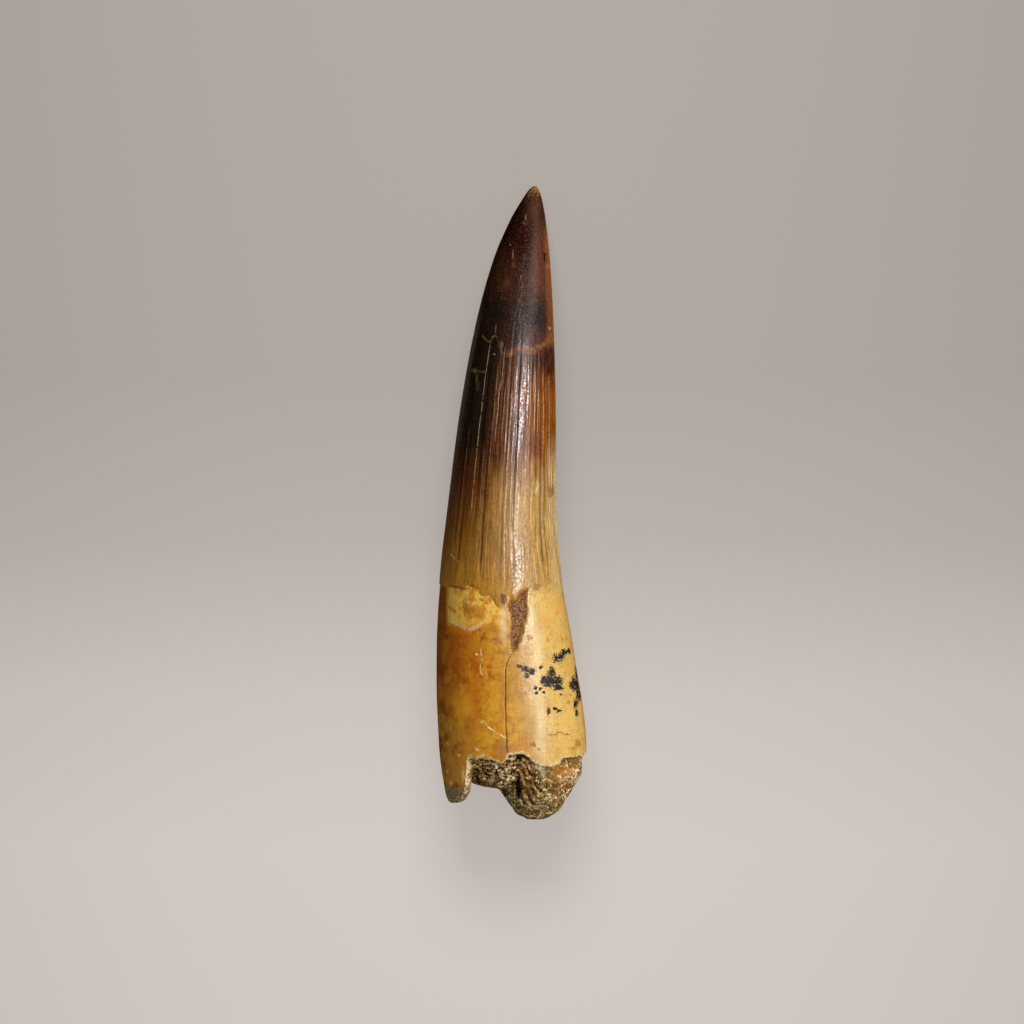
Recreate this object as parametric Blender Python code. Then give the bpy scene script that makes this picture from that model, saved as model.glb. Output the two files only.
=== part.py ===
"""A fossil spinosaurus tooth, lying on its flatter side with its tip towards +Y.

Crown and root grew as one piece. The sandstone that fills the hollow of the broken root is
a second piece. Lengths are in metres, and the origin is the middle of the base of the box
round the tooth. Heights run along the tooth, up from the lowest point of its broken end.
Angles run round its section: 0 is the right edge, 90 the side that faces up, 180 the left
edge, and -90 and 270 the middle of the side it lies on.
"""

import math

import bmesh
import bpy
from mathutils import Vector, noise

MM = 0.001

# The driving dimensions.
LENGTH = 100 * MM
FLUTE_DEPTH = 0.42 * MM
FLUTE_START = 37 * MM
FLUTE_FULL = 43 * MM
FLUTE_FADE = 69 * MM
FLUTE_END = 78 * MM
CARINA = 0.25 * MM
CARINA_WIDTH = 4.0
CARINA_RISE = 9 * MM
ENAMEL = 0.1 * MM
ENAMEL_BEVEL = 0.35 * MM
LEDGE = 0.14 * MM
LEDGE_WIDTH = 0.7 * MM
BELLY = 0.48
WALL_THIN = 0.45 * MM
WALL_THICK = 1.6 * MM
PRONG_ANGLE = 165
PRONG_SPREAD = 40
SOCKET_ROOF = 19 * MM
SOCKET_TAPER = 1.1 * MM
SOCKET_SHARES = (0.03, 0.3, 0.55, 0.8, 1.0)
SOCKET_DOME = 1.5 * MM
GAP = 0.3 * MM
LUMP = 0.35 * MM
LUMP_SIZE = 2.6 * MM
SWELL = 0.6 * MM
SWELL_DROP = 2.2 * MM
RIM_REACH = 8
CHIP_DEPTH = 0.7 * MM
CRACK_WIDTH = 0.36 * MM
CRACK_DEPTH = 0.45 * MM
CLEAR = 1.0 * MM

# Height, left edge, right edge, depth from front to back, and the underside's level. The
# underside dips below the floor's level under the root, where it is ground to a flat spot.
SECTIONS = [
    [value * MM for value in row]
    for row in (
        (100.0, 3.80, 3.80, 0.0, 0.9),
        (98.1, 1.95, 4.85, 2.5, 0.1),
        (94.3, -0.15, 5.50, 4.9, -0.2),
        (88.0, -2.75, 6.15, 7.6, 0.1),
        (75.4, -6.00, 6.80, 10.9, 0.8),
        (62.8, -8.15, 7.05, 13.0, 0.85),
        (50.2, -9.75, 7.10, 14.5, 0.45),
        (37.6, -11.15, 8.00, 16.1, -0.1),
        (26.0, -11.75, 10.00, 17.4, -0.4),
        (12.4, -11.35, 11.81, 18.0, -0.25),
        (0.0, -9.70, 12.10, 17.0, 0.7),
    )
]

# The lowest lines between the enamel's flutes on the side that faces up. The underside
# carries the same flutes, mirrored.
FRONT_VALLEYS = (6, 14.5, 22, 29, 37, 44, 51, 58.5, 67, 79, 90, 97, 103, 110, 120, 128)
FRONT_VALLEYS += (137, 146, 155, 165, 174)

# Angle and height of the root's broken rim. The prong stands between 137 and 200 degrees.
RIM = [
    (angle, height * MM)
    for angle, height in (
        (-90, 6.4),
        (-60, 7.6),
        (-30, 8.6),
        (0, 10.9),
        (24, 10.1),
        (44, 9.9),
        (61, 8.5),
        (72, 9.0),
        (82, 10.5),
        (92, 10.3),
        (99, 9.2),
        (112, 9.8),
        (128, 9.6),
        (132, 7.4),
        (135, 5.0),
        (140, 3.5),
        (147, 2.75),
        (157, 2.75),
        (168, 3.3),
        (180, 4.3),
        (192, 5.0),
        (208, 6.8),
        (235, 7.6),
        (270, 6.4),
    )
]

# Angle and height of the line where the enamel ends.
ENAMEL_EDGE = [
    (angle, height * MM)
    for angle, height in (
        (-90, 33.5),
        (-45, 36.5),
        (0, 35.6),
        (40, 36.0),
        (72, 36.1),
        (90, 33.6),
        (101, 34.2),
        (112, 35.4),
        (130, 36.4),
        (150, 36.2),
        (180, 36.8),
        (225, 36.0),
        (270, 33.5),
    )
]

# Angle and height of the healed fracture that crosses the crown.
FRACTURE = [
    (angle, height * MM)
    for angle, height in (
        (-90, 75.4),
        (-40, 74.2),
        (0, 76.0),
        (22, 75.7),
        (43, 74.7),
        (60, 73.8),
        (81, 73.9),
        (101, 72.9),
        (109, 74.4),
        (117, 75.8),
        (128, 75.3),
        (141, 75.9),
        (180, 76.4),
        (225, 74.0),
        (270, 75.4),
    )
]

# Height, left edge, right edge and depth of the sandstone where it stands out of the root.
PLUG_SECTIONS = [
    [value * MM for value in row]
    for row in (
        (6.6, -7.9, 10.75, 14.6),
        (5.9, -6.7, 10.05, 13.8),
        (5.3, -5.0, 9.75, 13.0),
        (4.75, -1.9, 9.40, 12.0),
        (3.4, -0.7, 8.60, 10.4),
        (1.9, 0.0, 7.75, 8.4),
        (0.8, 0.95, 6.75, 5.8),
        (0.15, 2.30, 5.75, 3.0),
    )
]
PLUG_INSIDE = [height * MM for height in (18.4, 15.6, 12.9, 10.6, 9.0, 7.7)]
PLUG_LEVEL = 8.9 * MM
PLUG_FOOT_X = 4.1 * MM
PLUG_COLUMNS = 46

# Across the front and height: the chip below the enamel, and the crack down from it.
CHIP = [
    (x * MM, height * MM)
    for x, height in (
        (-0.4, 34.9),
        (-0.1, 30.5),
        (-0.2, 27.0),
        (0.3, 25.7),
        (1.2, 26.6),
        (2.0, 29.3),
        (3.0, 32.4),
        (2.8, 35.5),
        (1.2, 34.6),
    )
]
CRACK = [
    (x * MM, height * MM)
    for x, height in (
        (0.5, 27.0),
        (-0.55, 24.9),
        (-0.90, 21.9),
        (-0.85, 18.8),
        (-0.75, 15.5),
        (-0.60, 13.1),
        (-0.50, 10.6),
        (-0.45, 7.8),
    )
]

# Rows of the mesh between the rim, the enamel's edge, the fracture and the tip.
ROOT_ROWS = 11
CROWN_ROWS = 12
TIP_ROWS = 14
TIP_CROWDING = 1.7


def smooth_step(low, high, value):
    """0 below low, 1 above high, and a smooth rise between them."""
    share = min(max((value - low) / (high - low), 0.0), 1.0)
    return share * share * (3 - 2 * share)


def slope_at(points, index):
    """The slope of the curve through the points at one of them, kept from overshooting."""
    slopes = [
        (points[i + 1][1] - points[i][1]) / (points[i + 1][0] - points[i][0])
        for i in (index - 1, index)
        if 0 <= i < len(points) - 1
    ]
    if len(slopes) == 1:
        return slopes[0]
    before, after = slopes
    return 2 * before * after / (before + after) if before * after > 0 else 0.0


def curve(points, at):
    """The value at one place on a smooth curve through (place, value) points."""
    last = len(points) - 2
    index = next((i for i in range(last) if at < points[i + 1][0]), last)
    (start, low), (end, high) = points[index : index + 2]
    span = end - start
    t = min(max((at - start) / span, 0.0), 1.0)
    rise = high - low
    into = slope_at(points, index) * span
    out = slope_at(points, index + 1) * span
    return low + t * (into + t * (3 * rise - 2 * into - out + t * (into + out - 2 * rise)))


def section_value(column, height):
    """One column of SECTIONS at a height. The square root rounds the tip off."""
    points = [(math.sqrt(LENGTH - row[0]), row[column]) for row in SECTIONS]
    return curve(points, math.sqrt(max(LENGTH - height, 0.0)))


def section(height):
    """The section's middle across, half its width, its depth and its underside's level."""
    left = section_value(1, height)
    right = section_value(2, height)
    return (left + right) / 2, (right - left) / 2, section_value(3, height), section_value(4, height)


def all_valleys():
    """The flutes' valleys right round the crown, from -90 to 270 degrees."""
    back = [-angle if angle <= 90 else 360 - angle for angle in FRONT_VALLEYS]
    return sorted([*FRONT_VALLEYS, *back])


VALLEYS = all_valleys()


def column_angles():
    """An angle in each valley and on each ridge between two valleys."""
    ends = VALLEYS[1:] + [VALLEYS[0] + 360]
    ridges = [(start + end) / 2 for start, end in zip(VALLEYS, ends)]
    return [angle for pair in zip(VALLEYS, ridges) for angle in pair]


def flute_wave(angle):
    """-1 in a valley, and up to 1 on the ridge between two valleys. No two ridges are alike."""
    index = sum(valley <= angle for valley in VALLEYS) - 1
    start = VALLEYS[index]
    end = VALLEYS[index + 1] if index + 1 < len(VALLEYS) else VALLEYS[0] + 360
    phase = (angle - start) / (end - start)
    crest = 0.75 + 0.25 * math.cos(2.4 * index)
    return -1 + (1 + crest) * math.sin(math.pi * phase) ** 2


def relief(angle, height):
    """How far the surface stands out from the section, which is measured over the two keels."""
    edge = curve(ENAMEL_EDGE, angle)
    fracture = curve(FRACTURE, angle)
    fluted = smooth_step(FLUTE_START, FLUTE_FULL, height) * (
        1 - smooth_step(FLUTE_FADE, FLUTE_END, height)
    )
    keel = math.exp(-((min(abs(angle), abs(angle - 180)) / CARINA_WIDTH) ** 2))
    return (
        smooth_step(edge, edge + ENAMEL_BEVEL, height) * ENAMEL
        - fluted * (1 - flute_wave(angle)) * FLUTE_DEPTH / 2
        - smooth_step(edge, edge + CARINA_RISE, height) * CARINA * (1 - keel)
        - LEDGE * math.exp(-(((height - fracture) / LEDGE_WIDTH) ** 2))
    ) * smooth_step(0, 6 * MM, LENGTH - height)


def ring_point(angle, height, inset=0.0):
    """A point of the section at a height, moved in by inset or out by a negative one."""
    middle, half_width, depth, underside = section(height)
    turn = math.radians(angle)
    across, up = math.cos(turn), math.sin(turn)
    half_depth = depth * (1 - BELLY if up > 0 else BELLY)
    x = middle + across * max(half_width - inset, 0.0)
    z = underside + depth * BELLY + up * max(half_depth - inset, 0.0)
    return Vector((x, height - LENGTH / 2, z))


def outer_point(angle, height):
    """A point of the tooth's outer surface. Nothing reaches below the floor's level."""
    point = ring_point(angle, height, -relief(angle, height))
    point.z = max(point.z, 0.0)
    return point


def wall(angle, height):
    """The root wall's thickness, greatest at the prong and growing up the tooth."""
    off = (angle - PRONG_ANGLE) / PRONG_SPREAD
    thick = WALL_THIN + (WALL_THICK - WALL_THIN) * math.exp(-off * off)
    return thick + SOCKET_TAPER * height / SOCKET_ROOF


def row_heights(angle):
    """The heights of a column's points, from the rim to just short of the tip."""
    rim = curve(RIM, angle)
    edge = curve(ENAMEL_EDGE, angle)
    fracture = curve(FRACTURE, angle)
    root = [rim + (edge - rim) * i / ROOT_ROWS for i in range(ROOT_ROWS + 1)]
    start = edge + ENAMEL_BEVEL
    crown = [start + (fracture - start) * i / CROWN_ROWS for i in range(CROWN_ROWS + 1)]
    drop = LENGTH - fracture
    tip = [LENGTH - drop * (1 - i / TIP_ROWS) ** TIP_CROWDING for i in range(1, TIP_ROWS)]
    return root + crown + tip


def skin(mesh, rings, start=None, end=None):
    """Faces between each ring of vertices and the next, closed to a start or an end point."""
    count = len(rings[0])
    for lower, upper in zip(rings, rings[1:]):
        for i in range(count):
            j = (i + 1) % count
            mesh.faces.new((lower[i], lower[j], upper[j], upper[i]))
    for ring, point, turned in ((rings[0], start, True), (rings[-1], end, False)):
        if point is None:
            continue
        for i in range(count):
            j = (i + 1) % count
            corners = (ring[j], ring[i], point) if turned else (ring[i], ring[j], point)
            mesh.faces.new(corners)


def finished(name, mesh, material):
    """Turns a bmesh into a smooth-shaded object whose faces point outwards."""
    bmesh.ops.recalc_face_normals(mesh, faces=mesh.faces)
    data = bpy.data.meshes.new(name)
    mesh.to_mesh(data)
    mesh.free()
    data.shade_smooth()
    data.set_sharp_from_angle(angle=math.radians(35))
    made = bpy.data.objects.new(name, data)
    bpy.context.scene.collection.objects.link(made)
    if material:
        data.materials.append(material)
    return made


def make_material(name, colour, roughness):
    """A plain Principled material."""
    made = bpy.data.materials.new(name)
    made.use_nodes = True
    shader = made.node_tree.nodes["Principled BSDF"]
    shader.inputs["Base Color"].default_value = (*colour, 1.0)
    shader.inputs["Roughness"].default_value = roughness
    shader.inputs["Metallic"].default_value = 0.0
    return made


def make_tooth(material):
    """Crown and root in one piece, with the socket that the sandstone fills."""
    mesh = bmesh.new()
    angles = column_angles()
    columns = [[outer_point(angle, height) for height in row_heights(angle)] for angle in angles]
    outside = [[mesh.verts.new(point) for point in row] for row in zip(*columns)]
    tip = mesh.verts.new(ring_point(0, LENGTH))
    inside = []
    for share in SOCKET_SHARES:
        ring = []
        for angle in angles:
            rim = curve(RIM, angle)
            height = rim + (SOCKET_ROOF - rim) * share
            ring.append(mesh.verts.new(ring_point(angle, height, wall(angle, height))))
        inside.append(ring)
    roof = mesh.verts.new(ring_point(0, SOCKET_ROOF + SOCKET_DOME, LENGTH))
    skin(mesh, [*reversed(inside), *outside], start=roof, end=tip)
    return finished("tooth", mesh, material)


def front_point(x, height, lift=0.0):
    """The point of the upper surface at a place across the tooth, raised by lift."""
    middle, half_width, _, _ = section(height)
    angle = math.degrees(math.acos((x - middle) / half_width))
    point = ring_point(angle, height)
    point.z += lift
    return point


def make_chip_cutter():
    """A shallow wedge with sloping sides, which leaves the chip's pit."""
    mesh = bmesh.new()
    count = len(CHIP)
    middle_x = sum(x for x, _ in CHIP) / count
    middle_height = sum(height for _, height in CHIP) / count
    rims = []
    for share, lift in ((0.72, -CHIP_DEPTH), (1.0, CLEAR)):
        ring = []
        for x, height in CHIP:
            near_x = middle_x + (x - middle_x) * share
            near_height = middle_height + (height - middle_height) * share
            ring.append(mesh.verts.new(front_point(near_x, near_height, lift)))
        rims.append(ring)
    floor = mesh.verts.new(front_point(middle_x, middle_height, -CHIP_DEPTH))
    above = mesh.verts.new(front_point(middle_x, middle_height, CLEAR))
    skin(mesh, rims, start=floor, end=above)
    return finished("chip_cutter", mesh, None)


def make_crack_cutter():
    """A thin V that follows the crack from the chip down past the rim."""
    mesh = bmesh.new()
    flare = (CRACK_WIDTH / 2) * (CRACK_DEPTH + CLEAR) / CRACK_DEPTH
    rings = [
        [
            mesh.verts.new(front_point(x, height, -CRACK_DEPTH)),
            mesh.verts.new(front_point(x + flare, height, CLEAR)),
            mesh.verts.new(front_point(x - flare, height, CLEAR)),
        ]
        for x, height in CRACK
    ]
    skin(mesh, rings)
    mesh.faces.new(rings[0])
    mesh.faces.new(rings[-1])
    return finished("crack_cutter", mesh, None)


def cut(body, cutter):
    """Takes the cutter's shape out of a body."""
    cutter.hide_render = True
    cutter.display_type = "WIRE"
    boolean = body.modifiers.new(cutter.name, "BOOLEAN")
    boolean.operation = "DIFFERENCE"
    boolean.solver = "EXACT"
    boolean.object = cutter


def lump(point):
    """How far the sandstone's broken surface stands out at a point, or in where negative."""
    coarse = noise.noise(point / LUMP_SIZE)
    fine = noise.noise(point / (LUMP_SIZE * 0.4))
    return LUMP * min(max(1.6 * coarse + 0.7 * fine, -1.0), 1.0)


def plug_ring(angle, height, left, right, depth):
    """A point of the sandstone's surface where it stands out of the root."""
    turn = math.radians(angle)
    x = (left + right) / 2 + math.cos(turn) * (right - left) / 2
    z = PLUG_LEVEL + math.sin(turn) * depth / 2
    point = Vector((x, height - LENGTH / 2, z))
    outward = point - Vector(((left + right) / 2, point.y, PLUG_LEVEL))
    return point + outward.normalized() * lump(point)


def make_plug(material):
    """The sandstone in the root's hollow, clear of the socket by the gap all round."""
    mesh = bmesh.new()
    angles = [-90 + 360 * i / PLUG_COLUMNS for i in range(PLUG_COLUMNS)]
    rings = []
    for height in PLUG_INSIDE:
        ring = []
        for angle in angles:
            rim = min(curve(RIM, angle + turn) for turn in (-RIM_REACH, 0, RIM_REACH))
            bare = smooth_step(GAP, SWELL_DROP, rim - height)
            inset = wall(angle, height) + GAP
            stands = SWELL + lump(ring_point(angle, height, inset))
            ring.append(mesh.verts.new(ring_point(angle, height, inset - bare * stands)))
        rings.append(ring)
    for row in PLUG_SECTIONS:
        rings.append([mesh.verts.new(plug_ring(angle, *row)) for angle in angles])
    top = mesh.verts.new(ring_point(0, PLUG_INSIDE[0], LENGTH))
    foot = mesh.verts.new((PLUG_FOOT_X, -LENGTH / 2, PLUG_LEVEL))
    skin(mesh, rings, start=top, end=foot)
    return finished("matrix_plug", mesh, material)


def main():
    for old in list(bpy.data.objects):
        bpy.data.objects.remove(old)
    enamel = make_material("fossil_enamel", (0.42, 0.21, 0.06), 0.32)
    sandstone = make_material("sandstone", (0.26, 0.17, 0.08), 0.9)
    tooth = make_tooth(enamel)
    cut(tooth, make_chip_cutter())
    cut(tooth, make_crack_cutter())
    make_plug(sandstone)


if __name__ == "__main__":
    main()
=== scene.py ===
"""The looks of a fossil spinosaurus tooth that lies on its side, seen from straight above.

Two pieces stand for the two solids: the tooth, whose crown and root grew as one, and the
sandstone that fills the hollow of its broken root. Their shapes are worked out in millimetres
and become metres when a mesh is made. Heights run along the tooth, up from the lowest point of
its broken end. Angles run round its section in degrees: 0 is the right edge, 90 the side that
faces up, 180 the left edge, and -90 and 270 the middle of the side it lies on.
"""

import math
from functools import partial, reduce

import bpy
import numpy as np
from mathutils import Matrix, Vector, noise


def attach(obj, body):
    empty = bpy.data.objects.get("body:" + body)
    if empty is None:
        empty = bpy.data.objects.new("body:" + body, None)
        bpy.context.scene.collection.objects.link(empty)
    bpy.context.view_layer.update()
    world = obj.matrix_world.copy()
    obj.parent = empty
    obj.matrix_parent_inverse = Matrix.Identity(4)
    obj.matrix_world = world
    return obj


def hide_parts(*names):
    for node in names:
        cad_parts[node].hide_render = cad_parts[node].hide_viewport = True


MM = 0.001

# The driving dimensions of the form, in millimetres.
LENGTH = 100.0
MID_HEIGHT = LENGTH / 2
FLUTE_DEPTH = 0.07
VALLEY_WIDTH = 1.8
FLUTE_START = 37.0
FLUTE_FULL = 43.0
FLUTE_FADE = 67.0
FLUTE_END = 80.0
CARINA = 0.25
CARINA_WIDTH = 4.0
CARINA_RISE = 9.0
ENAMEL = 0.12
ENAMEL_BEVEL = 0.35
LEDGE = 0.03
LEDGE_WIDTH = 0.45
BELLY = 0.48
WALL_THIN = 0.45
WALL_THICK = 1.6
PRONG_ANGLE = 165
PRONG_SPREAD = 40
SOCKET_ROOF = 19.0
SOCKET_TAPER = 1.1
CHIP_DEPTH = 0.55
CRACK_DEPTH = 0.05
CRACK_WIDTH = 0.1

# How strongly noise roughens the crown, the root, the rim and the chip, in millimetres.
STRIAE = 0.02
CROWN_GRAIN = 0.01
ROOT_SWELL = 0.12
RIM_BITES = 0.28
RIM_GRAIN = 0.12
CHIP_ROUGH = 0.22
CHIP_JAG = 0.3

# The radius of the column on which the streaks along the tooth are made.
FLOW_RADIUS = 8.0

# The mesh: degrees between columns on the side that faces up and on the underside, and rows.
FRONT_STEP = 0.7
BACK_STEP = 1.4
ROOT_ROWS = 84
CROWN_ROWS = 84
TIP_ROWS = 54
TIP_CROWDING = 1.6

# Height, left edge, right edge, depth from front to back, and the underside's level.
SECTIONS = (
    (100.0, 3.80, 3.80, 0.0, 0.9),
    (98.1, 1.95, 4.85, 2.5, 0.1),
    (94.3, -0.15, 5.50, 4.9, -0.2),
    (88.0, -2.75, 6.15, 7.6, 0.1),
    (75.4, -6.00, 6.80, 10.9, 0.8),
    (62.8, -8.15, 7.05, 13.0, 0.85),
    (50.2, -9.75, 7.10, 14.5, 0.45),
    (37.6, -11.15, 8.00, 16.1, -0.1),
    (26.0, -11.75, 10.00, 17.4, -0.4),
    (12.4, -11.35, 11.81, 18.0, -0.25),
    (0.0, -9.70, 12.10, 17.0, 0.7),
)

# The lowest lines between the enamel's flutes on the side that faces up. The underside
# carries the same flutes, mirrored.
FRONT_VALLEYS = (6, 14.5, 22, 29, 37, 44, 51, 58.5, 67, 79, 90, 97, 103, 110, 120, 128)
FRONT_VALLEYS += (137, 146, 155, 165, 174)

# Angle and height of the root's broken rim. The prong stands between 135 and 200 degrees.
RIM = (
    (-90, 6.4), (-60, 7.6), (-30, 8.6), (0, 10.9), (24, 10.1), (44, 9.9), (61, 8.5), (72, 9.0),
    (82, 10.5), (92, 10.3), (99, 9.2), (112, 9.8), (128, 9.6), (132, 7.4), (134.5, 5.4), (139, 4.1),
    (145, 3.3), (151, 2.9), (158, 2.75), (165, 2.95), (173, 3.6), (182, 4.7), (192, 5.7), (208, 6.8),
    (235, 7.6), (270, 6.4),
)

# Angle and height of the line where the enamel ends.
ENAMEL_EDGE = (
    (-90, 33.5), (-45, 36.5), (0, 35.4), (20, 36.0), (45, 36.3), (62, 36.2), (72, 35.6), (80, 34.4),
    (88.6, 33.1), (95, 33.7), (98, 34.8), (101.6, 35.3), (107.4, 35.3), (111, 36.1), (117, 36.5),
    (122.7, 36.8), (127, 36.1), (134.6, 36.4), (144.5, 36.5), (180, 36.8), (225, 36.0), (270, 33.5),
)

# Angle and height of the healed fracture that crosses the crown.
FRACTURE = (
    (-90, 75.4), (-40, 74.2), (0, 76.0), (22, 75.6), (43, 74.6), (60, 73.8), (81, 73.9), (101, 72.9),
    (105, 73.8), (111, 75.4), (117, 75.9), (123, 75.2), (131, 75.4), (141, 77.4), (180, 76.4),
    (225, 74.0), (270, 75.4),
)

# Across the front and height: the chip below the enamel, and the crack down from it.
CHIP = (
    (-0.4, 34.6), (-0.25, 33.0), (-0.1, 30.5), (-0.05, 27.2), (0.2, 26.4), (0.8, 26.7), (1.7, 29.0),
    (2.15, 30.7), (2.9, 32.4), (2.5, 34.6), (2.6, 36.3), (1.7, 36.0), (0.8, 34.8),
)
CRACK = (
    (0.35, 26.6), (-0.2, 25.6), (-0.65, 24.7), (-0.80, 23.9), (-0.88, 21.9), (-0.80, 20.2),
    (-0.88, 18.4), (-0.78, 16.7), (-0.80, 14.8), (-0.63, 13.1), (-0.62, 11.3), (-0.50, 9.0),
)


def smooth_step(low, high, value):
    """0 below low, 1 above high, and a smooth rise between them."""
    share = np.clip((np.asarray(value, float) - low) / (high - low), 0.0, 1.0)
    return share * share * (3 - 2 * share)


def curve(points, at):
    """Values on a smooth curve through (place, value) points, which never overshoots them."""
    places, values = np.array(points, float).T
    spans = np.diff(places)
    slopes = np.diff(values) / spans
    before, after = slopes[:-1], slopes[1:]
    alike = before * after > 0
    inner = np.where(alike, 2 * before * after / np.where(alike, before + after, 1), 0)
    tangents = np.concatenate(([slopes[0]], inner, [slopes[-1]]))
    at = np.clip(np.asarray(at, float), places[0], places[-1])
    index = np.clip(np.searchsorted(places, at, side="right") - 1, 0, len(spans) - 1)
    span = spans[index]
    t = (at - places[index]) / span
    low, rise = values[index], values[index + 1] - values[index]
    into, out = tangents[index] * span, tangents[index + 1] * span
    return low + t * (into + t * (3 * rise - 2 * into - out + t * (into + out - 2 * rise)))


def section_value(column, height):
    """One column of SECTIONS at some heights. The square root rounds the tip off."""
    points = [(math.sqrt(LENGTH - row[0]), row[column]) for row in SECTIONS]
    return curve(points, np.sqrt(np.maximum(LENGTH - np.asarray(height, float), 0.0)))


def section(height):
    """The section's middle across, half its width, its depth and its underside's level."""
    left, right = section_value(1, height), section_value(2, height)
    return (left + right) / 2, (right - left) / 2, section_value(3, height), section_value(4, height)


def ring_points(angle, height, inset=0.0):
    """Points of the section, moved in by inset or out by a negative one."""
    angle, height, inset = np.broadcast_arrays(angle, height, inset)
    middle, half_width, depth, underside = section(height)
    turn = np.radians(angle)
    across, up = np.cos(turn), np.sin(turn)
    half_depth = depth * np.where(up > 0, 1 - BELLY, BELLY)
    x = middle + across * np.maximum(half_width - inset, 0.0)
    z = underside + depth * BELLY + up * np.maximum(half_depth - inset, 0.0)
    return np.stack((x, height - MID_HEIGHT, z), axis=-1)


def lumps(points, size, octaves=1, seed=0.0):
    """Noise from about -1 to 1 at many points, with lumps about size across."""
    shifted = points.reshape(-1, 3) / size + seed
    if octaves == 1:
        values = [noise.noise(point) for point in shifted.tolist()]
    else:
        values = [noise.fractal(point, 1.0, 2.0, octaves) for point in shifted.tolist()]
    return np.array(values).reshape(points.shape[:-1])


def flow_points(angle, height, stretch):
    """Places on a round column on which noise makes streaks along the tooth, with no seam."""
    turn = np.radians(angle)
    x, z = FLOW_RADIUS * np.cos(turn), FLOW_RADIUS * np.sin(turn)
    return np.stack((x, z, height / stretch), axis=-1)


def all_valleys():
    """The flutes' valleys right round the crown, from -90 to 270 degrees."""
    back = [-angle if angle <= 90 else 360 - angle for angle in FRONT_VALLEYS]
    return np.array(sorted([*FRONT_VALLEYS, *back]))


VALLEYS = all_valleys()


def flute_wave(angle):
    """-1 in a valley, and up to 1 on the broad ridge between two valleys."""
    wrapped = np.where(angle < VALLEYS[0], angle + 360, angle)
    index = np.searchsorted(VALLEYS, wrapped, side="right") - 1
    ends = np.append(VALLEYS[1:], VALLEYS[0] + 360)
    away = np.minimum(wrapped - VALLEYS[index], ends[index] - wrapped)
    return 1 - 2 * np.exp(-((away / VALLEY_WIDTH) ** 2))


def inside_chip(x, height):
    """How far inside the chip's outline a place is, in millimetres, and negative outside it."""
    distance = np.full(x.shape, np.inf)
    inside = np.zeros(x.shape, bool)
    for (ax, ah), (bx, bh) in zip(CHIP, CHIP[1:] + CHIP[:1]):
        dx, dh = bx - ax, bh - ah
        share = np.clip(((x - ax) * dx + (height - ah) * dh) / (dx * dx + dh * dh), 0, 1)
        distance = np.minimum(distance, np.hypot(x - ax - share * dx, height - ah - share * dh))
        crosses = (ah > height) != (bh > height)
        inside ^= crosses & (x < ax + (height - ah) * dx / (dh if dh else 1e-9))
    return np.where(inside, distance, -distance)


def crack_offset(x, height):
    """How far to the right of the crack a place is, and where along it: 1 beside it, 0 past it."""
    crack = sorted((h, cx) for cx, h in CRACK)
    heights, across = np.array(crack).T
    beside = smooth_step(heights[0] - 1.0, heights[0] - 0.4, height) * (
        1 - smooth_step(heights[-1] - 0.1, heights[-1] + 0.3, height)
    )
    return x - np.interp(height, heights, across), beside


# Across and height of the points of the thin lines on the side that faces up, and height and
# across for FLAKE, which runs along the tooth.
BREAK_LINE = (
    (-4.49, 77.2), (-4.40, 76.06), (-3.89, 75.48), (-3.29, 75.12), (-2.93, 75.84), (-2.20, 75.91),
    (-1.95, 74.87), (-1.48, 73.67), (-1.12, 72.94),
)
PATCH_TOP = (
    (-9.61, 36.61), (-8.27, 36.61), (-7.02, 36.30), (-6.14, 36.88), (-5.20, 35.91), (-4.47, 35.28),
    (-3.46, 35.28), (-2.83, 34.65), (-2.20, 33.61), (-1.31, 32.85),
)
PATCH_BOTTOM = (
    (-9.92, 33.70), (-9.70, 32.28), (-8.98, 31.18), (-7.87, 30.71), (-6.77, 30.14), (-5.51, 30.30),
    (-4.31, 31.18),
)
SCRATCH = (
    (-4.74, 15.51), (-3.95, 15.51), (-3.64, 14.83), (-2.61, 14.14), (-1.59, 13.46), (-0.82, 13.12),
)
SIDE_CRACK = (
    (-3.78, 23.78), (-2.68, 23.94), (-1.73, 24.09), (-1.10, 24.41), (-0.63, 24.88),
)
WIGGLE = (
    (5.76, 13.72), (6.46, 13.46), (7.09, 13.64), (7.72, 13.86), (8.35, 13.54), (9.18, 13.51),
)
NICK = (
    (-9.68, 41.7), (-9.2, 41.55), (-8.9, 41.1), (-8.27, 40.7),
)
FLAKE = (
    (22.76, -4.31), (24.11, -4.77), (26.08, -4.61), (26.98, -4.91),
)

# Across the front, height, and half the width and height of the black mineral spots.
BLACK = (
    (5.98, 21.89, 0.94, 0.94), (7.09, 21.73, 0.94, 0.87), (6.46, 23.31, 0.47, 0.79),
    (5.04, 22.05, 0.47, 0.63), (7.40, 20.79, 0.79, 0.39), (7.32, 25.35, 0.79, 0.63),
    (7.87, 25.83, 0.55, 0.47), (8.43, 26.38, 0.55, 0.39), (9.13, 26.46, 0.31, 0.39),
    (1.42, 24.25, 0.35, 0.25), (2.28, 23.86, 0.63, 0.47), (3.15, 23.54, 0.55, 0.47),
    (2.44, 22.91, 0.39, 0.31), (10.39, 22.99, 0.39, 0.94), (10.08, 21.26, 0.79, 0.94),
    (10.71, 19.84, 0.47, 1.10), (10.16, 18.27, 0.31, 0.71), (10.31, 16.85, 0.25, 0.55),
    (5.87, 17.3, 0.28, 0.5), (6.95, 17.5, 0.3, 0.22), (7.6, 17.2, 0.36, 0.2), (3.87, 20.79, 0.24, 0.24),
    (3.98, 20.13, 0.31, 0.25), (4.72, 24.09, 0.24, 0.28), (7.72, 19.69, 0.24, 0.19),
    (4.61, 20.71, 0.22, 0.22), (5.20, 20.16, 0.22, 0.28),
)


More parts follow.
